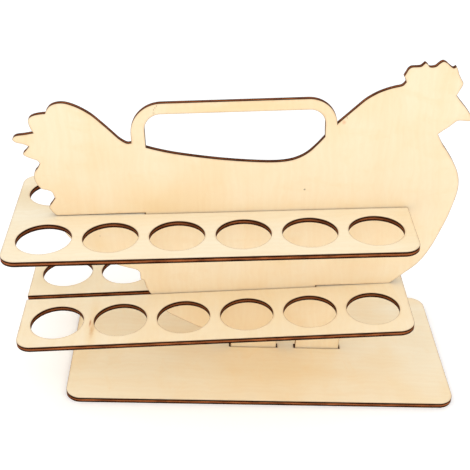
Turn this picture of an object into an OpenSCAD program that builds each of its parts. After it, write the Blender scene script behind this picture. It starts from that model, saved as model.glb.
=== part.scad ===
// Two-tier rack for a couple of dozen eggs: an upright panel cut to the
// outline of a hen, two pierced trays and a foot board, all cut from plain
// thin plywood. The boards only slot into one another: nothing is glued.
// +X runs from the tail to the beak, +Y away from the viewer, +Z up.
// The origin is on the foot board's underside, midway between the hen's two
// feet. Millimetres.

/* [Plywood] */
// Thickness of every board
board_t = 4; // [3:0.5:5]
// Radius on the corners of the trays and of the foot board
corner_r = 12; // [4:1:20]
// How much wider the slots in the trays and the foot board are than a board
slot_play = 1.2; // [0.6:0.2:2]
// How much taller the slots in the hen panel are than a board
slot_lift = 1; // [0.6:0.2:2]

/* [Egg trays] */
// Diameter of each egg hole
hole_d = 40; // [36:1:42]
// Distance between holes along a row
hole_pitch = 47.8; // [46:0.2:50]
// Holes along a row
hole_count = 6; // [5:1:6]
// Distance between the front row and the back row
row_gap = 68.2; // [60:0.2:72]
// Wood left between the end holes and the ends of a tray
end_margin = 8; // [6:1:12]
// Wood left between a row and the long edge of a tray
side_margin = 9.9; // [8:0.1:14]
// Height of the upper tray's top face in the hen panel
upper_z = 126.5; // [126:0.5:128]
// Height of the lower tray's top face in the hen panel
lower_z = 55.6; // [54:0.2:56]
// Where the upper tray's middle lies along the hen panel
upper_x = 0.2; // [-2:0.2:3]
// Where the lower tray's middle lies along the hen panel
lower_x = 1.2; // [-2:0.2:3]
// How far the upper tray droops in its slot towards the beak, degrees
upper_droop = 0.4; // [0:0.1:0.7]
// How far the lower tray droops in its slot towards the tail, degrees
lower_droop = 0.8; // [0:0.1:0.8]

/* [Hen panel] */
// Nose-up lean of the hen panel over the foot board, degrees
lean = 3.8; // [0:0.2:4]
// Closed end of the slot that comes in from the tail
tail_slot_x = -48; // [-60:1:-40]
// Closed end of the slot that comes in from the breast
breast_slot_x = 80; // [70:1:90]
// Top face of the carrying handle
handle_top = 215; // [212:1:220]
// Height of the carrying handle's bar
handle_bar = 8.2; // [6:0.2:9]

/* [Foot board] */
// How much longer its slots are than the feet, at each end
foot_play = 1; // [0.5:0.1:2]
// Length of the foot board
base_l = 296; // [260:2:320]
// Width of the foot board
base_w = 140; // [110:2:150]
// How far the foot board's middle lies behind the hen
base_back = 2; // [0:0.5:5]
// How far the foot board's middle lies towards the beak from the trays' middle
base_shift = 34; // [28:1:40]

/* [Hidden] */
steps = 3;                                   // sides between two points of a curve
tray_l = (hole_count - 1) * hole_pitch + hole_d + 2 * end_margin;
tray_w = row_gap + hole_d + 2 * side_margin;
slot_w = board_t + slot_play;
slot_h = board_t + slot_lift;
seat = 0.1;                                  // air under a seated tray
end_gap = 0.5;                               // air where two slots meet end to end
feet = [[12, 49], [64.5, 100]];              // both ends of the two feet
foot_mid = (feet[0][1] + feet[1][0]) / 2;    // midway between the feet, where x is 0

// The hen's outline, in the panel's own plane: x towards the beak, z up from
// the foot board's top face. Each list is one smooth stretch, and two
// stretches meet in a corner.
tail_back = [[-54, 185], [-57.5, 185], [-62.5, 188.5], [-68, 194.5],
    [-74, 201], [-81, 208], [-89, 213.5], [-97, 217], [-103, 217.5],
    [-108, 216], [-111, 213], [-112.5, 210]];
feather_2 = [[-112.5, 210], [-118, 209.5], [-122.5, 208.2], [-125, 205.5],
    [-124.5, 200], [-122.5, 195.3]];
feather_3 = [[-122.5, 195.3], [-129, 194.3], [-135.5, 193.5], [-138, 191],
    [-136, 188.5], [-131, 187], [-127, 185]];
feather_4 = [[-127, 185], [-129.5, 182], [-132, 179.3], [-130, 177],
    [-126, 175], [-122.5, 173.5], [-121, 171]];
feather_5 = [[-121, 171], [-123, 167.5], [-125.5, 164.5], [-126.5, 160],
    [-125.5, 155], [-122.5, 150.5], [-118, 149], [-115, 147], [-113.5, 142]];
feather_6 = [[-113.5, 142], [-116, 138.5], [-118.5, 135], [-117.5, 132],
    [-115.5, 129], [-112.5, 126], [-112, 121], [-111.5, 116]];
rump = [[-111.5, 116], [-106, 107], [-98, 98], [-89, 90.5], [-81, 86],
    [-73, 82], [-65, 79], [-59, 77], [-56.3, 74.5], [-56, 71], [-56, 68]];
rump_low = [[-56, 68], [-53.5, 66.5], [-52.5, 62], [-51, 57.5], [-47.5, 51],
    [-42, 42], [-36, 34.8], [-29, 30], [-21, 25], [-13, 20.2], [-4, 15],
    [4, 10.3], [12, 6]];
belly = [[101, 3], [101.8, 18], [102.3, 36], [102.6, 53]];
belly_top = [[134, 53], [136.5, 55.6], [140, 58.3]];
breast = [[140, 58.3], [144.5, 62], [151, 67.5], [157.5, 73.2], [163.5, 81],
    [169, 91.5], [173.5, 102.5], [178, 114.5], [181, 125], [183, 133],
    [184, 140.5], [183.5, 148], [181.5, 155], [178, 162.5], [173.5, 170],
    [169, 177], [165.3, 184.5]];
beak_low = [[165.3, 184.5], [168.5, 187], [172.5, 189.8], [176, 192.8],
    [178.7, 194.6], [182.5, 194.4], [186.5, 194], [189.5, 194.8]];
beak_top = [[189.5, 194.8], [187.5, 198.5], [184.8, 202.5], [181.5, 206.8],
    [178.5, 210.5], [176, 214]];
face = [[176, 214], [177.5, 217.3], [179.2, 220.8], [179.7, 223.3],
    [178, 226.5], [176.2, 230], [175.2, 233], [174, 235.5]];
comb_front = [[174, 235.5], [172, 234.5], [169.5, 236.3], [167, 238.6],
    [164.5, 239.5], [162, 238], [160, 236.2], [157.5, 235.6], [155.3, 236],
    [154, 237.8], [152.3, 239]];
comb_back = [[152.3, 239], [151, 237.7], [149.3, 236.4], [146, 236.2],
    [143, 236], [141, 234.6], [139.6, 232], [138.2, 229.5]];
comb_notch = [[138.2, 229.5], [139.2, 227.5], [140, 225.2]];
neck = [[140, 225.2], [137.5, 222.6], [133, 221.6], [127, 220], [120, 217.2],
    [113, 213], [107, 207.8], [101, 202.3], [93.5, 195.5]];
// Lower side of the handle's opening, along the hen's back
saddle = [[-44, 181.2], [-36.5, 178.8], [-28, 176.5], [-19, 174.5], [-3, 171.6],
    [13, 169.2], [30, 167.3], [46, 166.2], [57, 166.7], [65, 168.7],
    [72, 172.5], [78.5, 178.5], [84.5, 185.3]];

// One point of a smooth curve through a, b, c and d, between b and c
function through(a, b, c, d, t) =
    0.5 * (2 * b + (c - a) * t + (2 * a - 5 * b + 4 * c - d) * t * t
        + (3 * b - a - 3 * c + d) * t * t * t);
// Every point of one smooth stretch but its last
function stretch(p) = let (last = len(p) - 1)
    [for (i = [0:last - 1]) for (k = [0:steps - 1]) through(
        i == 0 ? 2 * p[0] - p[1] : p[i - 1], p[i], p[i + 1],
        i == last - 1 ? 2 * p[last] - p[last - 1] : p[i + 2], k / steps)];
// Points on an arc about c
function arc(c, r, from, to, n) =
    [for (i = [0:n]) let (a = from + (to - from) * i / n)
        c + r * [cos(a), sin(a)]];
// Outline of a board with round corners, centred
function board_outline(l, w, r) = concat(
    arc([l / 2 - r, w / 2 - r], r, 0, 90, 12),
    arc([-l / 2 + r, w / 2 - r], r, 90, 180, 12),
    arc([-l / 2 + r, -w / 2 + r], r, 180, 270, 12),
    arc([l / 2 - r, -w / 2 + r], r, 270, 360, 12));

handle_out = concat(
    arc([72.5, handle_top - 20.5], 20.5, 0, 90, 12),
    arc([-31, handle_top - 23], 23, 90, 180, 12));
handle_in = concat(
    arc([73.5, handle_top - handle_bar - 11], 11, 0, 90, 8),
    arc([-32, handle_top - handle_bar - 12], 12, 90, 180, 8));
hen_outline = concat(stretch(tail_back), stretch(feather_2),
    stretch(feather_3), stretch(feather_4), stretch(feather_5),
    stretch(feather_6), stretch(rump), stretch(rump_low), [[12, 6]],
    stretch(belly), [[102.6, 53]], stretch(belly_top), stretch(breast), stretch(beak_low), stretch(beak_top),
    stretch(face), stretch(comb_front), stretch(comb_back),
    stretch(comb_notch), stretch(neck), [[93.5, 195.5]], handle_out);
handle_hole = concat(stretch(saddle), [[84.5, 185.3]], handle_in);

// Puts what is drawn in the panel's frame where the leaning panel stands
module on_panel() {
    translate([-foot_mid, 0, board_t]) rotate([0, -lean, 0]) children();
}

// A box from one corner to the other
module block(a, b) {
    translate(a) cube(b - a);
}

// A flat rectangle from one corner to the other
module patch(a, b) {
    translate(a) square(b - a);
}

// The panel as it is cut from its sheet, drawn as x and height
module panel_outline() {
    translate([-foot_mid, board_t]) rotate(lean) difference() {
        polygon(hen_outline);
        polygon(handle_hole);
        // slot for the upper tray, open at the tail
        patch([-200, upper_z - board_t - seat],
            [tail_slot_x, upper_z - board_t - seat + slot_h]);
        // slot for the lower tray, open at the breast
        patch([breast_slot_x, lower_z - board_t - seat],
            [220, lower_z - board_t - seat + slot_h]);
    }
    // two feet that go down through the foot board
    for (f = feet)
        patch([f[0] - foot_mid, 0], [f[1] - foot_mid, board_t + 12]);
}

module hen_panel() {
    color([0.95, 0.83, 0.62])
        rotate([90, 0, 0]) linear_extrude(height = board_t, center = true)
            panel_outline();
}

// One pierced tray, its top face at z = 0, slotted along its middle
module pierced_tray(slot_from, slot_to) {
    difference() {
        translate([0, 0, -board_t]) linear_extrude(height = board_t)
            polygon(board_outline(tray_l, tray_w, corner_r));
        for (i = [0:hole_count - 1]) for (s = [-1, 1])
            translate([(i - (hole_count - 1) / 2) * hole_pitch,
                s * row_gap / 2, -board_t - 1])
                cylinder(h = board_t + 2, d = hole_d, $fn = 96);
        block([slot_from, -slot_w / 2, -board_t - 1],
            [slot_to, slot_w / 2, 1]);
    }
}

// Turns what is drawn about a point of the panel, nose down
module drooping(x, z, angle) {
    translate([x, 0, z]) rotate([0, angle, 0]) translate([-x, 0, -z]) children();
}

module upper_tray() {
    color([0.97, 0.88, 0.70]) on_panel()
        drooping(tail_slot_x, upper_z - board_t, upper_droop)
        translate([upper_x, 0, upper_z])
        pierced_tray(tail_slot_x - end_gap - upper_x, tray_l);
}

module lower_tray() {
    color([0.96, 0.86, 0.67]) on_panel()
        drooping(breast_slot_x, lower_z - board_t, -lower_droop)
        translate([lower_x, 0, lower_z])
        pierced_tray(-tray_l, breast_slot_x + end_gap - lower_x);
}

module foot_board() {
    color([0.93, 0.80, 0.58]) difference() {
        translate([base_shift - foot_mid, base_back, 0])
            linear_extrude(height = board_t)
            polygon(board_outline(base_l, base_w, corner_r));
        for (f = feet)
            block([f[0] - foot_play - foot_mid, -slot_w / 2, -1],
                [f[1] + foot_play - foot_mid, slot_w / 2, board_t + 1]);
    }
}

hen_panel();
upper_tray();
lower_tray();
foot_board();
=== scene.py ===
import math

import bpy
import numpy as np
from mathutils import Matrix, Vector
from mathutils.geometry import delaunay_2d_cdt


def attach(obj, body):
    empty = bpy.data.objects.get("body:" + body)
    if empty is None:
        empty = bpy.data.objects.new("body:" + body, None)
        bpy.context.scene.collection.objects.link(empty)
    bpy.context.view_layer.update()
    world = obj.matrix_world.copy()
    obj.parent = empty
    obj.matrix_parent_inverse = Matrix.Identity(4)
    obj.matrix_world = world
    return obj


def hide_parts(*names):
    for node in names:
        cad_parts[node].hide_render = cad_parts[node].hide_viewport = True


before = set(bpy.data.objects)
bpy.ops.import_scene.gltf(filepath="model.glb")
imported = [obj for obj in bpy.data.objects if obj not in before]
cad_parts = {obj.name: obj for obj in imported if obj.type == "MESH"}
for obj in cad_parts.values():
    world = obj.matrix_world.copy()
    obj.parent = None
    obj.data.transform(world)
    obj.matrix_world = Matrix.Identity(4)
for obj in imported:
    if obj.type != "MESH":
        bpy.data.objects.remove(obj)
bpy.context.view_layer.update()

# ---------------------------------------------------------------- sizes, mm
BOARD = 4.0
CORNER = 12.0
SLOT_W = 5.2
SLOT_H = 5.0
HOLE_R = 20.0
PITCH = 47.8
ROW = 34.1
TRAY_L, TRAY_W = 295.0, 128.0
UPPER_Z, UPPER_X = 126.5, 0.2
LOWER_Z, LOWER_X = 55.6, 1.2
UPPER_DROOP, LOWER_DROOP = math.radians(0.4), math.radians(-0.8)
LEAN = math.radians(3.8)
TAIL_SLOT, BREAST_SLOT = -48.0, 80.0
SEAT, END_GAP = 0.1, 0.5
FEET, FOOT_PLAY = ((12.0, 49.0), (64.5, 100.0)), 1.0
HANDLE_TOP, HANDLE_BAR = 215.0, 8.2
BASE_L, BASE_W, BASE_BACK, BASE_SHIFT = 296.0, 140.0, 2.0, 34.0
SHIFT = (FEET[0][1] + FEET[1][0]) / 2
STEPS = 5

# The hen's outline in the panel's own plane, the same points as the CAD's:
# x towards the beak, z up from the foot board's top face.
TAIL_BACK = [(-54, 185), (-57.5, 185), (-62.5, 188.5), (-68, 194.5),
             (-74, 201), (-81, 208), (-89, 213.5), (-97, 217), (-103, 217.5),
             (-108, 216), (-111, 213), (-112.5, 210)]
FEATHER_2 = [(-112.5, 210), (-118, 209.5), (-122.5, 208.2), (-125, 205.5),
             (-124.5, 200), (-122.5, 195.3)]
FEATHER_3 = [(-122.5, 195.3), (-129, 194.3), (-135.5, 193.5), (-138, 191),
             (-136, 188.5), (-131, 187), (-127, 185)]
FEATHER_4 = [(-127, 185), (-129.5, 182), (-132, 179.3), (-130, 177),
             (-126, 175), (-122.5, 173.5), (-121, 171)]
FEATHER_5 = [(-121, 171), (-123, 167.5), (-125.5, 164.5), (-126.5, 160),
             (-125.5, 155), (-122.5, 150.5), (-118, 149), (-115, 147), (-113.5, 142)]
FEATHER_6 = [(-113.5, 142), (-116, 138.5), (-118.5, 135), (-117.5, 132),
             (-115.5, 129), (-112.5, 126), (-112, 121), (-111.5, 116)]
RUMP = [(-111.5, 116), (-106, 107), (-98, 98), (-89, 90.5), (-81, 86),
        (-73, 82), (-65, 79), (-59, 77), (-56.3, 74.5), (-56, 71), (-56, 68)]
RUMP_LOW = [(-56, 68), (-53.5, 66.5), (-52.5, 62), (-51, 57.5), (-47.5, 51),
            (-42, 42), (-36, 34.8), (-29, 30), (-21, 25), (-13, 20.2), (-4, 15),
            (4, 10.3), (12, 6)]
BELLY = [(101, 3), (101.8, 18), (102.3, 36), (102.6, 53)]
BELLY_TOP = [(134, 53), (136.5, 55.6), (140, 58.3)]
BREAST = [(140, 58.3), (144.5, 62), (151, 67.5), (157.5, 73.2), (163.5, 81),
          (169, 91.5), (173.5, 102.5), (178, 114.5), (181, 125), (183, 133),
          (184, 140.5), (183.5, 148), (181.5, 155), (178, 162.5), (173.5, 170),
          (169, 177), (165.3, 184.5)]
BEAK_LOW = [(165.3, 184.5), (168.5, 187), (172.5, 189.8), (176, 192.8),
            (178.7, 194.6), (182.5, 194.4), (186.5, 194), (189.5, 194.8)]
BEAK_TOP = [(189.5, 194.8), (187.5, 198.5), (184.8, 202.5), (181.5, 206.8),
            (178.5, 210.5), (176, 214)]
FACE = [(176, 214), (177.5, 217.3), (179.2, 220.8), (179.7, 223.3),
        (178, 226.5), (176.2, 230), (175.2, 233), (174, 235.5)]
COMB_FRONT = [(174, 235.5), (172, 234.5), (169.5, 236.3), (167, 238.6),
              (164.5, 239.5), (162, 238), (160, 236.2), (157.5, 235.6), (155.3, 236),
              (154, 237.8), (152.3, 239)]
COMB_BACK = [(152.3, 239), (151, 237.7), (149.3, 236.4), (146, 236.2),
             (143, 236), (141, 234.6), (139.6, 232), (138.2, 229.5)]
COMB_NOTCH = [(138.2, 229.5), (139.2, 227.5), (140, 225.2)]
NECK = [(140, 225.2), (137.5, 222.6), (133, 221.6), (127, 220), (120, 217.2),
        (113, 213), (107, 207.8), (101, 202.3), (93.5, 195.5)]
SADDLE = [(-44, 181.2), (-36.5, 178.8), (-28, 176.5), (-19, 174.5), (-3, 171.6),
          (13, 169.2), (30, 167.3), (46, 166.2), (57, 166.7), (65, 168.7),
          (72, 172.5), (78.5, 178.5), (84.5, 185.3)]


def through(a, b, c, d, t):
    """A point of a smooth curve through a, b, c and d, between b and c."""
    return 0.5 * (2 * b + (c - a) * t + (2 * a - 5 * b + 4 * c - d) * t * t
                  + (3 * b - a - 3 * c + d) * t ** 3)


def stretch(p, steps=STEPS):
    """Every point of one smooth stretch but its last."""
    p = [np.array(q, float) for q in p]
    p = [2 * p[0] - p[1]] + p + [2 * p[-1] - p[-2]]
    return [through(p[i - 1], p[i], p[i + 1], p[i + 2], k / steps)
            for i in range(1, len(p) - 2) for k in range(steps)]


def arc(c, r, a0, a1, n):
    a = np.radians(np.linspace(a0, a1, n + 1))
    return [np.array((c[0] + r * math.cos(x), c[1] + r * math.sin(x))) for x in a]


def rounded(l, w, r, n=20):
    """A board with round corners, centred, anticlockwise."""
    return (arc((l / 2 - r, w / 2 - r), r, 0, 90, n)
            + arc((-l / 2 + r, w / 2 - r), r, 90, 180, n)
            + arc((-l / 2 + r, -w / 2 + r), r, 180, 270, n)
            + arc((l / 2 - r, -w / 2 + r), r, 270, 360, n))


def rect(x0, x1, y0, y1):
    """A clockwise rectangle, for a hole."""
    return [np.array(q, float) for q in ((x0, y0), (x0, y1), (x1, y1), (x1, y0))]


def circle(c, r, n=120):
    """A clockwise circle, for a hole."""
    return arc(c, r, 360, 0, n)[:-1]


def cut_in(loop, lo, hi, end, side, axis=1):
    """Cuts a slot that comes in from one side, between the two lines lo and hi, to its closed end."""
    loop = list(split(loop, 1.6))
    other = 1 - axis

    def crossing(level):
        for i in range(len(loop)):
            a, b = loop[i], loop[(i + 1) % len(loop)]
            if (a[axis] - level) * (b[axis] - level) < 0:
                p = a + (b - a) * (level - a[axis]) / (b[axis] - a[axis])
                if (p[other] - end) * side > 0:
                    return i, p
        raise ValueError("the slot misses the board")

    (i, p), (j, q) = crossing(lo), crossing(hi)
    if (i - j) % len(loop) < (j - i) % len(loop):
        (i, p), (j, q) = (j, q), (i, p)

    def corner(at):
        out = np.array(at)
        out[other] = end
        return out

    rest = []
    k = (j + 1) % len(loop)
    while k != (i + 1) % len(loop):
        rest.append(loop[k])
        k = (k + 1) % len(loop)
    return rest + [p, corner(p), corner(q), q]


def split(loop, longest):
    """The loop with no side longer than that."""
    out = []
    for i in range(len(loop)):
        a, b = loop[i], loop[(i + 1) % len(loop)]
        d = np.linalg.norm(b - a)
        if d < 1e-6:
            continue
        n = max(1, math.ceil(d / longest - 1e-6))
        out += [a + (b - a) * k / n for k in range(n)]
    return np.array(out)


def inset(loop, d):
    """The loop moved into the wood by d, which lies on its left."""
    nxt, prv = np.roll(loop, -1, 0), np.roll(loop, 1, 0)

    def normal(v):
        v = v / np.linalg.norm(v, axis=1)[:, None]
        return np.stack([-v[:, 1], v[:, 0]], 1)

    n0, n1 = normal(loop - prv), normal(nxt - loop)
    m = n0 + n1
    m /= np.maximum(np.linalg.norm(m, axis=1), 1e-6)[:, None]
    grow = np.minimum(1 / np.maximum((m * n1).sum(1), 0.2), 2.5)
    return loop + m * (d * grow)[:, None]


def distances(points, loops):
    """Each point's distance from the nearest cut edge."""
    a = np.concatenate(loops)
    b = np.concatenate([np.roll(l, -1, 0) for l in loops])
    ab = b - a
    ll = (ab * ab).sum(1)
    out = np.empty(len(points))
    for k in range(0, len(points), 400):
        p = points[k:k + 400, None, :]
        t = np.clip(((p - a) * ab).sum(2) / ll, 0, 1)
        out[k:k + 400] = np.sqrt((((p - a) - t[..., None] * ab) ** 2).sum(2).min(1))
    return out


def within(points, loops):
    """Which points lie in the wood: inside the outer loop and outside the holes."""
    inside = np.zeros(len(points), bool)
    x, y = points[:, 0], points[:, 1]
    for l in loops:
        a, b = l, np.roll(l, -1, 0)
        for (ax, ay), (bx, by) in zip(a, b):
            if ay == by:
                continue
            hit = ((ay > y) != (by > y)) & (x < (bx - ax) * (y - ay) / (by - ay) + ax)
            inside ^= hit
    return inside


def in_wood(flat, tris, rim_edges, rims):
    """Which triangles lie in the wood. Triangles that meet at an edge that isn't a rim lie on the same
    side of it, so each such patch is judged as one, by its largest triangle."""
    a, b, c = flat[tris[:, 0]], flat[tris[:, 1]], flat[tris[:, 2]]
    area = abs((b[:, 0] - a[:, 0]) * (c[:, 1] - a[:, 1]) - (b[:, 1] - a[:, 1]) * (c[:, 0] - a[:, 0]))
    beside = {}
    for t, (i, j, k) in enumerate(tris.tolist()):
        for e in (frozenset((i, j)), frozenset((j, k)), frozenset((k, i))):
            if e not in rim_edges:
                beside.setdefault(e, []).append(t)
    near = [[] for _ in tris]
    for group in beside.values():
        if len(group) == 2:
            near[group[0]].append(group[1])
            near[group[1]].append(group[0])
    keep = np.zeros(len(tris), bool)
    seen = np.zeros(len(tris), bool)
    for start in range(len(tris)):
        if seen[start]:
            continue
        seen[start] = True
        patch, todo = [], [start]
        while todo:
            t = todo.pop()
            patch.append(t)
            for o in near[t]:
                if not seen[o]:
                    seen[o] = True
                    todo.append(o)
        big = max(patch, key=lambda t: area[t])
        if area[big] > 1e-3 and within(flat[tris[big]].mean(0)[None, :], rims)[0]:
            keep[patch] = True
    return keep


# The wall of a laser-cut edge, from the upper face to the lower one, as (how
# far it lies inside the cut line, height in the board). The two glue lines
# are burnt back a little between the three plies.
HALF = BOARD / 2
PLY = 0.72
WALL_UP = [(0.15, HALF), (0.05, HALF - 0.05), (0.0, HALF - 0.15), (0.0, 1.30),
           (0.0, PLY + 0.12), (0.06, PLY + 0.05), (0.06, PLY - 0.05), (0.0, PLY - 0.12)]
WALL = WALL_UP + [(d, -w) for d, w in reversed(WALL_UP)]
RINGS = (0.45, 0.9, 1.6, 2.8, 5.0)


def board(name, loops, to_world, longest=1.6):
    """One board: loops in millimetres, the first anticlockwise and the holes clockwise."""
    loops = [split(l, longest) for l in loops]
    rims = [inset(l, WALL[0][0]) for l in loops]
    rim = np.concatenate(rims)
    starts = np.cumsum([0] + [len(l) for l in rims])
    edges = [(s + i, s + (i + 1) % len(l)) for s, l in zip(starts, rims) for i in range(len(l))]
    inner = []
    for ring in RINGS:
        for l in loops:
            q = inset(l, ring)[::2 if ring > 2 else 1]
            q = q[distances(q, loops) > 0.95 * ring]
            inner.append(q)
    lo, hi = loops[0].min(0), loops[0].max(0)
    gx, gy = np.meshgrid(np.arange(lo[0] + 4, hi[0], 8.0), np.arange(lo[1] + 4, hi[1], 8.0))
    grid = np.stack([gx.ravel() + (np.arange(gx.size) % 2) * 0.37, gy.ravel()], 1)
    grid = grid[within(grid, loops)]
    grid = grid[distances(grid, loops) > 7.5]
    inner.append(grid)
    inner = np.concatenate(inner)
    inner = inner[within(inner, rims)]
    points = np.concatenate([rim, inner])
    got = delaunay_2d_cdt([Vector(p) for p in points], edges, [], 0, 1e-7)
    flat = np.array([tuple(v) for v in got[0]])
    first = {}
    for k, ids in enumerate(got[3]):
        for i in ids:
            first[i] = k
    tris = np.array([f for f in got[2] if len(f) == 3])
    rim_edges = {frozenset(e) for e, origin in zip(got[1], got[4]) if origin}
    tris = tris[in_wood(flat, tris, rim_edges, rims)]
    a, b, c = flat[tris[:, 0]], flat[tris[:, 1]], flat[tris[:, 2]]
    turn = (b[:, 0] - a[:, 0]) * (c[:, 1] - a[:, 1]) - (b[:, 1] - a[:, 1]) * (c[:, 0] - a[:, 0])
    tris[turn < 0] = tris[turn < 0][:, ::-1]
    gap = distances(flat, loops)
    nf = len(flat)
    verts = [np.c_[flat, np.full(nf, HALF)], np.c_[flat, np.full(nf, -HALF)]]
    edge_mm = [gap, gap]
    wall = [np.zeros(nf), np.zeros(nf)]
    along = [np.zeros(nf), np.zeros(nf)]
    # 1 on the walls of holes, where the char is darkened as painted shade
    hole_wall_shade = [np.zeros(nf), np.zeros(nf)]
    faces = [tuple(t) for t in tris] + [tuple(t[::-1] + nf) for t in tris]
    n = 2 * nf
    for number, (s, l) in enumerate(zip(starts, loops)):
        m = len(l)
        length = np.r_[0, np.cumsum(np.linalg.norm(np.roll(l, -1, 0) - l, axis=1))][:-1]
        rows = [np.array([first[s + i] for i in range(m)])]
        for k, (d, w) in enumerate(WALL[1:-1]):
            p = inset(l, d) if d else l
            verts.append(np.c_[p, np.full(m, w)])
            edge_mm.append(np.zeros(m))
            wall.append(np.full(m, 0.55 if abs(w) > HALF - 0.1 else 1.0))
            along.append(length)
            hole_wall_shade.append(np.full(m, 1.0 if number else 0.0))
            rows.append(np.arange(n, n + m))
            n += m
        rows.append(rows[0] + nf)
        for upper, lower in zip(rows, rows[1:]):
            for i in range(m):
                j = (i + 1) % m
                faces.append((upper[i], lower[i], lower[j], upper[j]))
        along[0][rows[0]] = length
        along[1][rows[0]] = length
    verts = np.concatenate(verts)
    used = np.unique(np.concatenate([np.array(f) for f in faces]))
    renumber = np.full(len(verts), -1)
    renumber[used] = np.arange(len(used))
    faces = [tuple(int(renumber[i]) for i in f) for f in faces]
    local = verts[used]
    attributes = {"edge_mm": np.concatenate(edge_mm)[used], "ply_mm": local[:, 2],
                  "wall": np.concatenate(wall)[used], "along_mm": np.concatenate(along)[used],
                  "hole_wall_shade": np.concatenate(hole_wall_shade)[used]}
    u, v, w, o = to_world
    world = (local[:, :1] * np.array(u) + local[:, 1:2] * np.array(v)
             + local[:, 2:] * np.array(w) + np.array(o)) / 1000
    mesh = bpy.data.meshes.new(name)
    mesh.from_pydata([tuple(p) for p in world], [], faces)
    mesh.validate()
    for key, values in attributes.items():
        at = mesh.attributes.new(key, "FLOAT", "POINT")
        at.data.foreach_set("value", values.astype(np.float32))
    at = mesh.attributes.new("board_cm", "FLOAT_VECTOR", "POINT")
    at.data.foreach_set("vector", (local / 10).astype(np.float32).ravel())
    mesh.shade_smooth()
    mesh.set_sharp_from_angle(angle=math.radians(48))
    mesh.update()
    obj = bpy.data.objects.new(name, mesh)
    bpy.context.scene.collection.objects.link(obj)
    return obj


# ------------------------------------------------------------- the outlines
C, S = math.cos(LEAN), math.sin(LEAN)


def to_panel(x, z):
    """A point of the object's frame, as x and height in the panel's plane."""
    return np.array(((x + SHIFT) * C + (z - BOARD) * S, -(x + SHIFT) * S + (z - BOARD) * C))


def to_frame(p):
    return np.array((p[0] * C - p[1] * S - SHIFT, p[0] * S + p[1] * C + BOARD))


low_a, low_b = to_frame((12, 6)), to_frame((101, 3))


def low_edge(x):
    return low_a[1] + (low_b[1] - low_a[1]) * (x - low_a[0]) / (low_b[0] - low_a[0])


feet = []
for x0, x1 in FEET:
    x0, x1 = x0 - SHIFT, x1 - SHIFT
    feet += [to_panel(x0, low_edge(x0)), to_panel(x0, 0), to_panel(x1, 0), to_panel(x1, low_edge(x1))]

hen = []
for part in (TAIL_BACK, FEATHER_2, FEATHER_3, FEATHER_4, FEATHER_5, FEATHER_6, RUMP, RUMP_LOW):
    hen += stretch(part)
hen += [np.array((12.0, 6.0))] + feet
hen += stretch(BELLY) + [np.array((102.6, 53.0))]
for part in (BELLY_TOP, BREAST, BEAK_LOW, BEAK_TOP, FACE, COMB_FRONT, COMB_BACK, COMB_NOTCH, NECK):
    hen += stretch(part)
hen += [np.array((93.5, 195.5))]
hen += arc((72.5, HANDLE_TOP - 20.5), 20.5, 0, 90, 20) + arc((-31, HANDLE_TOP - 23), 23, 90, 180, 22)
u_low = UPPER_Z - BOARD - SEAT
l_low = LOWER_Z - BOARD - SEAT
hen = cut_in(hen, u_low, u_low + SLOT_H, TAIL_SLOT, -1)
hen = cut_in(hen, l_low, l_low + SLOT_H, BREAST_SLOT, 1)
grip = stretch(SADDLE) + [np.array((84.5, 185.3))]
grip += arc((73.5, HANDLE_TOP - HANDLE_BAR - 11), 11, 0, 90, 14)
grip += arc((-32, HANDLE_TOP - HANDLE_BAR - 12), 12, 90, 180, 14)
grip = grip[::-1]

egg_holes = [circle(((i - 2.5) * PITCH, s * ROW), HOLE_R) for i in range(6) for s in (-1, 1)]
tray = rounded(TRAY_L, TRAY_W, CORNER)
upper = cut_in(tray, -SLOT_W / 2, SLOT_W / 2, TAIL_SLOT - END_GAP - UPPER_X, 1)
lower = cut_in(tray, -SLOT_W / 2, SLOT_W / 2, BREAST_SLOT + END_GAP - LOWER_X, -1)
base = [p + (0, BASE_BACK) for p in rounded(BASE_L, BASE_W, CORNER)]
foot_slots = [rect(x0 - FOOT_PLAY - BASE_SHIFT, x1 + FOOT_PLAY - BASE_SHIFT, -SLOT_W / 2, SLOT_W / 2)
              for x0, x1 in FEET]

ALONG, LEANING_UP = (C, 0, S), (-S, 0, C)


def on_panel(x, z):
    p = to_frame((x, z))
    return (p[0], 0, p[1])


def drooping(x, z, middle_x, middle_z, angle):
    """Where a tray lies that is turned nose down by angle about a point of the panel: its directions and its middle."""
    dx, dz = middle_x - x, middle_z - z
    c, s = math.cos(angle), math.sin(angle)
    place = on_panel(x + dx * c + dz * s, z - dx * s + dz * c)
    a = LEAN - angle
    return (math.cos(a), 0, math.sin(a)), (0, 1, 0), (-math.sin(a), 0, math.cos(a)), place


panel_obj = board("hen_panel_board", [hen, grip], (ALONG, LEANING_UP, (0, -1, 0), on_panel(0, 0)))
upper_obj = board("upper_tray_board", [upper] + egg_holes,
                  drooping(TAIL_SLOT, UPPER_Z - BOARD, UPPER_X, UPPER_Z - HALF, UPPER_DROOP))
lower_obj = board("lower_tray_board", [lower] + egg_holes,
                  drooping(BREAST_SLOT, LOWER_Z - BOARD, LOWER_X, LOWER_Z - HALF, LOWER_DROOP))
base_obj = board("foot_board_board", [base] + foot_slots,
                 ((1, 0, 0), (0, 1, 0), (0, 0, 1), (BASE_SHIFT - SHIFT, 0, HALF)))


# ------------------------------------------------------------- the plywood
def srgb(r, g, b):
    return tuple((c / 255 / 12.92 if c / 255 <= 0.04045 else ((c / 255 + 0.055) / 1.055) ** 2.4)
                 for c in (r, g, b)) + (1.0,)


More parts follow.
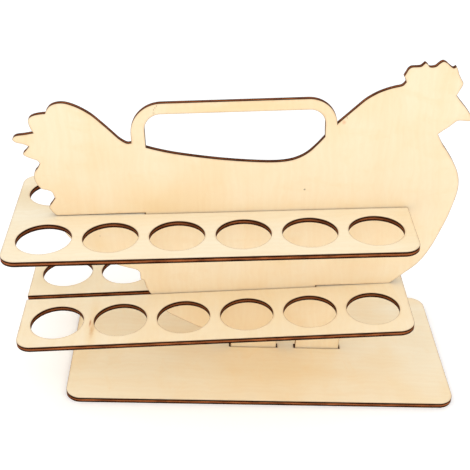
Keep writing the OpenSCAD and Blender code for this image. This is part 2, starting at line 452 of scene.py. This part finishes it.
class Graph:
    """A short way to write a material's nodes."""

    def __init__(self, name):
        self.mat = bpy.data.materials.new(name)
        self.mat.use_nodes = True
        self.t = self.mat.node_tree
        self.t.nodes.clear()
        self.out = self.t.nodes.new("ShaderNodeOutputMaterial")
        self.bsdf = self.t.nodes.new("ShaderNodeBsdfPrincipled")
        self.t.links.new(self.bsdf.outputs["BSDF"], self.out.inputs["Surface"])

    def put(self, socket, value):
        if hasattr(value, "is_linked") or hasattr(value, "links"):
            self.t.links.new(value, socket)
        else:
            socket.default_value = value

    def attr(self, name, vector=False):
        n = self.t.nodes.new("ShaderNodeAttribute")
        n.attribute_name = name
        return n.outputs["Vector" if vector else "Fac"]

    def math(self, op, a, b=0.0, c=0.0, clamp=False):
        n = self.t.nodes.new("ShaderNodeMath")
        n.operation = op
        n.use_clamp = clamp
        for s, v in zip(n.inputs, (a, b, c)):
            self.put(s, v)
        return n.outputs[0]

    def vec(self, op, a, b=(0, 0, 0), scale=None):
        n = self.t.nodes.new("ShaderNodeVectorMath")
        n.operation = op
        self.put(n.inputs[0], a)
        self.put(n.inputs[1], b)
        if scale is not None:
            self.put(n.inputs["Scale"], scale)
        return n.outputs["Value" if op in ("LENGTH", "DISTANCE", "DOT_PRODUCT") else "Vector"]

    def noise(self, vector, scale, detail=2.0, rough=0.5, distortion=0.0, color=False):
        n = self.t.nodes.new("ShaderNodeTexNoise")
        self.put(n.inputs["Vector"], vector)
        n.inputs["Scale"].default_value = scale
        n.inputs["Detail"].default_value = detail
        n.inputs["Roughness"].default_value = rough
        n.inputs["Distortion"].default_value = distortion
        return n.outputs["Color" if color else "Fac"]

    def span(self, value, a, b, c=0.0, d=1.0, smooth=True):
        n = self.t.nodes.new("ShaderNodeMapRange")
        n.interpolation_type = "SMOOTHSTEP" if smooth else "LINEAR"
        n.clamp = True
        for s, v in zip(n.inputs, (value, a, b, c, d)):
            self.put(s, v)
        return n.outputs[0]

    def mix(self, fac, a, b, mode="MIX"):
        n = self.t.nodes.new("ShaderNodeMix")
        n.data_type = "RGBA"
        n.blend_type = mode
        n.clamp_factor = True
        self.put(n.inputs["Factor"], fac)
        self.put(n.inputs["A"], a)
        self.put(n.inputs["B"], b)
        return n.outputs["Result"]

    def ramp(self, value, stops):
        n = self.t.nodes.new("ShaderNodeValToRGB")
        self.put(n.inputs[0], value)
        e = n.color_ramp.elements
        e[0].position, e[0].color = stops[0]
        e[1].position, e[1].color = stops[-1]
        for p, c in stops[1:-1]:
            x = e.new(p)
            x.color = c
        return n.outputs[0]

    def combine(self, x, y, z):
        n = self.t.nodes.new("ShaderNodeCombineXYZ")
        for s, v in zip(n.inputs, (x, y, z)):
            self.put(s, v)
        return n.outputs[0]

    def separate(self, v):
        n = self.t.nodes.new("ShaderNodeSeparateXYZ")
        self.put(n.inputs[0], v)
        return n.outputs

    def bump(self, height, strength, distance, under=None):
        n = self.t.nodes.new("ShaderNodeBump")
        n.inputs["Strength"].default_value = strength
        n.inputs["Distance"].default_value = distance
        self.put(n.inputs["Height"], height)
        if under is not None:
            self.put(n.inputs["Normal"], under)
        return n.outputs[0]


def plywood(name, light, tone, warm, grain_up, offset, marks=(), blotch=0.5, contrast=1.0):
    """Pale rotary-cut birch faces with burnt three-ply edges. marks are (kind, u, v, size along, size across, strength), in mm."""
    g = Graph(name)
    place = g.attr("board_cm", True)
    moved = g.vec("ADD", place, offset)
    xyz = g.separate(moved)
    # along and across the grain of the face
    along, across = (xyz[1], xyz[0]) if grain_up else (xyz[0], xyz[1])
    # a slow wander, so that no grain line is ruled
    drift = g.noise(g.combine(g.math("MULTIPLY", along, 0.16), g.math("MULTIPLY", across, 0.35), 3.0), 1.0, 2.0)
    across_w = g.math("ADD", across, g.math("MULTIPLY", g.math("SUBTRACT", drift, 0.5), 1.6))
    # broad bands a finger wide
    bands = g.noise(g.combine(g.math("MULTIPLY", along, 0.05), g.math("MULTIPLY", across_w, 0.75), 0.0), 1.0, 3.0, 0.55)
    # grain lines about a millimetre apart, and finer ones between
    lines = g.noise(g.combine(g.math("MULTIPLY", along, 0.22), g.math("MULTIPLY", across_w, 6.0), 5.0), 1.0, 3.0, 0.6)
    fine = g.noise(g.combine(g.math("MULTIPLY", along, 0.9), g.math("MULTIPLY", across_w, 26.0), 9.0), 1.0, 2.0, 0.6)
    # the cloudy figure of a peeled veneer, wider across the grain than along it
    cloud = g.noise(g.combine(g.math("MULTIPLY", along, 0.85), g.math("MULTIPLY", across, 0.42), 12.0), 1.0, 3.0, 0.55, 0.6)
    patch = g.noise(g.combine(g.math("MULTIPLY", along, 0.16), g.math("MULTIPLY", across, 0.16), 20.0), 1.0, 2.0, 0.5)
    # growth rings cut nearly flat: long open curves
    rings = g.t.nodes.new("ShaderNodeTexWave")
    rings.wave_type, rings.bands_direction, rings.wave_profile = "BANDS", "X", "SIN"
    g.put(rings.inputs["Vector"], g.combine(g.math("ADD", across_w, g.math("MULTIPLY", cloud, 1.2)),
                                            g.math("MULTIPLY", along, 0.08), 0.0))
    rings.inputs["Scale"].default_value = 0.55
    rings.inputs["Distortion"].default_value = 3.0
    rings.inputs["Detail"].default_value = 2.0
    rings.inputs["Detail Scale"].default_value = 0.6
    # short dark flecks along the grain
    fleck_v = g.combine(g.math("MULTIPLY", along, 2.4), g.math("MULTIPLY", across_w, 22.0), 31.0)
    fleck = g.span(g.noise(fleck_v, 1.0, 1.0, 0.4), 0.72, 0.80)
    col = g.mix(g.span(bands, 0.3, 0.7), light, tone)
    col = g.mix(g.math("MULTIPLY", g.span(patch, 0.42, 0.72), blotch), col, warm)
    col = g.mix(g.math("MULTIPLY", g.span(cloud, 0.48, 0.72), 0.45 * blotch), col, warm)
    shade = g.math("ADD", g.math("MULTIPLY", g.math("SUBTRACT", lines, 0.5), 0.085 * contrast),
                   g.math("MULTIPLY", g.math("SUBTRACT", fine, 0.5), 0.06 * contrast))
    shade = g.math("ADD", shade, g.math("MULTIPLY", g.math("SUBTRACT", rings.outputs["Fac"], 0.5), 0.022 * contrast))
    shade = g.math("SUBTRACT", shade, g.math("MULTIPLY", fleck, 0.05 * contrast))
    shade = g.math("ADD", shade, 1.0)
    # grain darkens blue most, then green, so that it reads as warmer, not greyer
    shade_rgb = g.combine(g.math("POWER", shade, 0.45), g.math("POWER", shade, 0.95), g.math("POWER", shade, 1.6))
    col = g.mix(1.0, col, shade_rgb, "MULTIPLY")
    for kind, u, v, size_u, size_v, strength in marks:
        d = g.vec("SUBTRACT", place, (u / 10, v / 10, 0))
        wide = kind in ("stain", "tint", "painted_shade")
        wob = g.noise(moved, (0.5 if kind != "stain" else 3.0) if wide else 9.0, 3.0, 0.6, color=True)
        d = g.vec("ADD", d, g.vec("SCALE", g.vec("SUBTRACT", wob, (0.5, 0.5, 0.5)),
                                  scale=min(size_u, size_v) / 10 * (0.9 if wide else 0.5)))
        d = g.vec("MULTIPLY", d, (10 / size_u, 10 / size_v, 0))
        r = g.vec("LENGTH", d)
        # the same mark shows on the upper face only
        top = g.span(g.attr("ply_mm"), 1.6, 1.9)
        f = g.math("MULTIPLY", g.math("MULTIPLY", g.span(r, 1.0, 0.0), top), strength)
        if kind == "stain":
            f = g.math("MULTIPLY", f, g.span(lines, 0.2, 0.7, 0.5, 1.0))
            col = g.mix(f, col, srgb(214, 160, 92))
        elif kind == "line":
            col = g.mix(f, col, srgb(120, 78, 44))
        elif kind == "grey":
            col = g.mix(f, col, srgb(205, 186, 150))
        elif kind == "tint":
            col = g.mix(f, col, srgb(243, 213, 160))
        # painted shade: a greyer, darker patch of face
        elif kind == "painted_shade":
            col = g.mix(f, col, srgb(240, 221, 184))
        elif kind == "orange":
            col = g.mix(f, col, srgb(222, 150, 92))
        else:
            col = g.mix(f, col, srgb(74, 46, 26))
    # scorch beside each cut: a dark hair line, then a light brown breath of smoke
    edge = g.attr("edge_mm")
    uneven = g.noise(moved, 1.3, 3.0, 0.6)
    smoke = g.span(edge, 0.2, g.math("ADD", 0.9, g.math("MULTIPLY", uneven, 1.6)), 1.0, 0.0)
    col = g.mix(g.math("MULTIPLY", smoke, g.span(uneven, 0.3, 0.75, 0.10, 0.34)), col, srgb(196, 140, 82))
    hair = g.span(edge, 0.12, 0.42, 1.0, 0.0)
    col = g.mix(g.math("MULTIPLY", hair, 0.6), col, srgb(112, 66, 34))
    # the cut wall: charred outer plies, black glue lines and a redder middle ply
    ply = g.math("ABSOLUTE", g.attr("ply_mm"))
    run = g.math("MULTIPLY", g.attr("along_mm"), 0.1)
    w = g.attr("ply_mm")
    streak = g.noise(g.combine(g.math("MULTIPLY", run, 14.0), g.math("MULTIPLY", w, 0.35), offset[0]), 1.0, 3.0, 0.65)
    slow = g.noise(g.combine(g.math("MULTIPLY", run, 0.7), g.math("MULTIPLY", w, 0.5), offset[1] + 4.0), 1.0, 3.0, 0.6)
    hole_wall_shade = g.attr("hole_wall_shade")
    core = g.mix(g.span(slow, 0.30, 0.68), srgb(110, 57, 29), srgb(184, 106, 61))
    core = g.mix(g.math("MULTIPLY", g.span(streak, 0.35, 0.75), 0.4), core, srgb(78, 38, 16))
    # painted shade in the holes: the walls of the egg holes, the grip and the foot slots get a darker middle ply than
    # the outer edges
    core = g.mix(g.math("MULTIPLY", hole_wall_shade, 0.42), core, srgb(62, 30, 13))
    outer = g.mix(g.span(slow, 0.3, 0.7), srgb(26, 10, 2), srgb(58, 25, 6))
    outer = g.mix(g.math("MULTIPLY", g.span(streak, 0.4, 0.8), 0.5), outer, srgb(16, 6, 1))
    burnt = g.mix(g.span(g.math("ADD", ply, g.math("MULTIPLY", g.math("SUBTRACT", streak, 0.5), 0.35)), 0.62, 0.98), core, outer)
    glue = g.math("MULTIPLY", g.span(g.math("ABSOLUTE", g.math("SUBTRACT", ply, PLY)), 0.06, 0.16, 1.0, 0.0), 0.8)
    burnt = g.mix(glue, burnt, srgb(20, 9, 3))
    # the last tenths under the face are less charred
    burnt = g.mix(g.span(ply, 1.8, 2.0, 0.0, 0.12), burnt, srgb(112, 60, 26))
    wall = g.attr("wall")
    col = g.mix(g.span(wall, 0.1, 0.75), col, burnt)
    g.put(g.bsdf.inputs["Base Color"], col)
    rough = g.math("ADD", 0.50, g.math("MULTIPLY", g.math("SUBTRACT", fine, 0.5), 0.25))
    rough = g.math("ADD", rough, g.math("MULTIPLY", g.span(wall, 0.1, 0.75), 0.26))
    g.put(g.bsdf.inputs["Roughness"], rough)
    g.put(g.bsdf.inputs["Specular IOR Level"], g.span(wall, 0.1, 0.75, 0.28, 0.04))
    face_height = g.math("ADD", g.math("MULTIPLY", fine, 0.6), g.math("ADD", g.math("MULTIPLY", lines, 0.4),
                                                                     g.math("MULTIPLY", fleck, -0.5)))
    is_wall = g.span(wall, 0.1, 0.75)
    height = g.math("ADD", g.math("MULTIPLY", face_height, g.math("SUBTRACT", 1.0, is_wall)),
                    g.math("MULTIPLY", g.math("MULTIPLY", streak, 2.2), is_wall))
    g.put(g.bsdf.inputs["Normal"], g.bump(height, 0.35, 0.00008))
    return g.mat


CREAM = srgb(252, 238, 210)
# The greyer, darker patches among the marks below are painted shade: behind the panel at the trays' back left ends and
# at the foot board's right end, and a faint one on the breast.
panel_mat = plywood("birch_hen_panel", srgb(249, 229, 194), srgb(248, 225, 187), srgb(245, 215, 168), True,
                    (31.0, 7.0, 2.0),
                    marks=(("tint", 24.0, 210.0, 78.0, 9.0, 0.75), ("tint", -46.0, 140.0, 60.0, 26.0, 0.30),
                           ("painted_shade", 150.0, 150.0, 60.0, 70.0, 0.25), ("tint", -84.0, 100.0, 16.0, 14.0, 0.35),
                           ("knot", 70.3, 142.8, 1.1, 1.1, 0.85),
                           ("line", -34.3, 213.3, 0.45, 1.1, 0.9), ("line", -35.4, 211.8, 0.45, 1.1, 0.8),
                           ("line", -36.5, 210.4, 0.45, 1.0, 0.7), ("grey", -36.6, 207.8, 1.6, 1.8, 0.6),
                           ("line", 67.0, 207.2, 0.9, 0.45, 0.6), ("line", 99.7, 199.6, 0.5, 1.2, 0.75),
                           ("orange", 97.6, 196.2, 2.4, 2.6, 0.45), ("grey", -83.7, 108.3, 1.0, 1.4, 0.6)),
                    blotch=0.6, contrast=0.8)
upper_mat = plywood("birch_upper_tray", srgb(252, 240, 213), srgb(251, 237, 207), srgb(249, 229, 192), False,
                    (5.0, 43.0, 11.0),
                    marks=(("painted_shade", -138.0, 30.0, 40.0, 36.0, 0.9), ("tint", 146.0, -30.0, 26.0, 60.0, 0.35)),
                    blotch=0.4)
lower_mat = plywood("birch_lower_tray", srgb(252, 238, 210), srgb(251, 235, 203), srgb(248, 226, 186), True,
                    (57.0, 19.0, 23.0),
                    marks=(("painted_shade", -124.0, 26.0, 46.0, 40.0, 0.9), ("tint", -92.5, -38.0, 8.0, 60.0, 0.5),
                           ("stain", -92.2, -46.0, 2.6, 13.0, 0.75), ("orange", -94.2, -37.0, 1.3, 7.0, 0.8),
                           ("line", -94.4, -37.0, 0.5, 4.5, 0.7)),
                    blotch=0.5, contrast=0.75)
base_mat = plywood("birch_foot_board", srgb(251, 237, 208), srgb(250, 233, 201), srgb(248, 223, 180), False,
                   (13.0, 71.0, 37.0),
                   marks=(("tint", 10.0, -34.0, 80.0, 22.0, 0.32), ("painted_shade", 132.0, 10.0, 26.0, 70.0, 0.2)),
                   blotch=0.7, contrast=0.85)

for obj, mat, node, body, slot in (
        (panel_obj, panel_mat, "hen_panel", "panel", "hen_plywood"),
        (upper_obj, upper_mat, "upper_tray", "upper", "tray_plywood"),
        (lower_obj, lower_mat, "lower_tray", "lower", "tray_plywood"),
        (base_obj, base_mat, "foot_board", "foot", "foot_plywood")):
    obj.data.materials.append(mat)
    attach(obj, body)
    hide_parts(node)

# ------------------------------------------------------- floor, light, camera
floor_mesh = bpy.data.meshes.new("floor")
floor_mesh.from_pydata([(-9, -9, -0.0003), (9, -9, -0.0003), (9, 9, -0.0003), (-9, 9, -0.0003)], [], [(0, 1, 2, 3)])
floor = bpy.data.objects.new("floor", floor_mesh)
bpy.context.scene.collection.objects.link(floor)
fm = Graph("floor_white")
fm.bsdf.inputs["Base Color"].default_value = (0.93, 0.93, 0.93, 1)
fm.bsdf.inputs["Roughness"].default_value = 0.9
fm.bsdf.inputs["Specular IOR Level"].default_value = 0.1
fm.bsdf.inputs["Emission Color"].default_value = (1, 1, 1, 1)
fm.bsdf.inputs["Emission Strength"].default_value = 0.2
floor_mesh.materials.append(fm.mat)

world = bpy.data.worlds.new("studio")
world.use_nodes = True
world.node_tree.nodes["Background"].inputs["Color"].default_value = (1, 1, 1, 1)
world.node_tree.nodes["Background"].inputs["Strength"].default_value = 0.95
bpy.context.scene.world = world


def area(name, place, aim, size, power):
    light = bpy.data.lights.new(name, "AREA")
    light.shape = "SQUARE"
    light.size = size
    light.energy = power
    o = bpy.data.objects.new(name, light)
    bpy.context.scene.collection.objects.link(o)
    o.location = place
    o.rotation_euler = (Vector(aim) - Vector(place)).to_track_quat("-Z", "Y").to_euler()
    return o


middle = (BASE_SHIFT - SHIFT) / 1000
area("key", (middle - 0.5, -1.3, 1.6), (middle, 0, 0.08), 1.2, 4.4)
area("low_fill", (middle + 0.35, -1.6, 0.35), (middle, 0, 0.05), 1.0, 1.6)

yaw, pitch, roll = 0.0412, 0.5525, -0.0338
ahead = np.array((math.sin(yaw) * math.cos(pitch), math.cos(yaw) * math.cos(pitch), -math.sin(pitch)))
right = np.array((math.cos(yaw), -math.sin(yaw), 0.0))
down = np.cross(ahead, right)
r2 = math.cos(roll) * right + math.sin(roll) * down
d2 = -math.sin(roll) * right + math.cos(roll) * down
lens = bpy.data.cameras.new("camera")
lens.sensor_width = 36
lens.lens = 75.447
lens.clip_start, lens.clip_end = 0.05, 60
camera = bpy.data.objects.new("camera", lens)
bpy.context.scene.collection.objects.link(camera)
# the camera was fitted with the panel leaning 3 degrees, and turns with it about the foot of the panel
turn = LEAN - math.radians(3)


def turned(v):
    return (v[0] * math.cos(turn) - v[2] * math.sin(turn), v[1], v[0] * math.sin(turn) + v[2] * math.cos(turn))


place = turned((-0.0135343, -0.6357408, 0.4971967))
place = (place[0] - SHIFT / 1000, place[1], place[2] + 0.004)
r2, d2, ahead = turned(r2), turned(d2), turned(ahead)
camera.matrix_world = Matrix([(r2[i], -d2[i], -ahead[i], place[i]) for i in range(3)] + [(0, 0, 0, 1)])
bpy.context.scene.camera = camera
bpy.context.scene.view_settings.view_transform = "Standard"
bpy.context.scene.view_settings.look = "None"
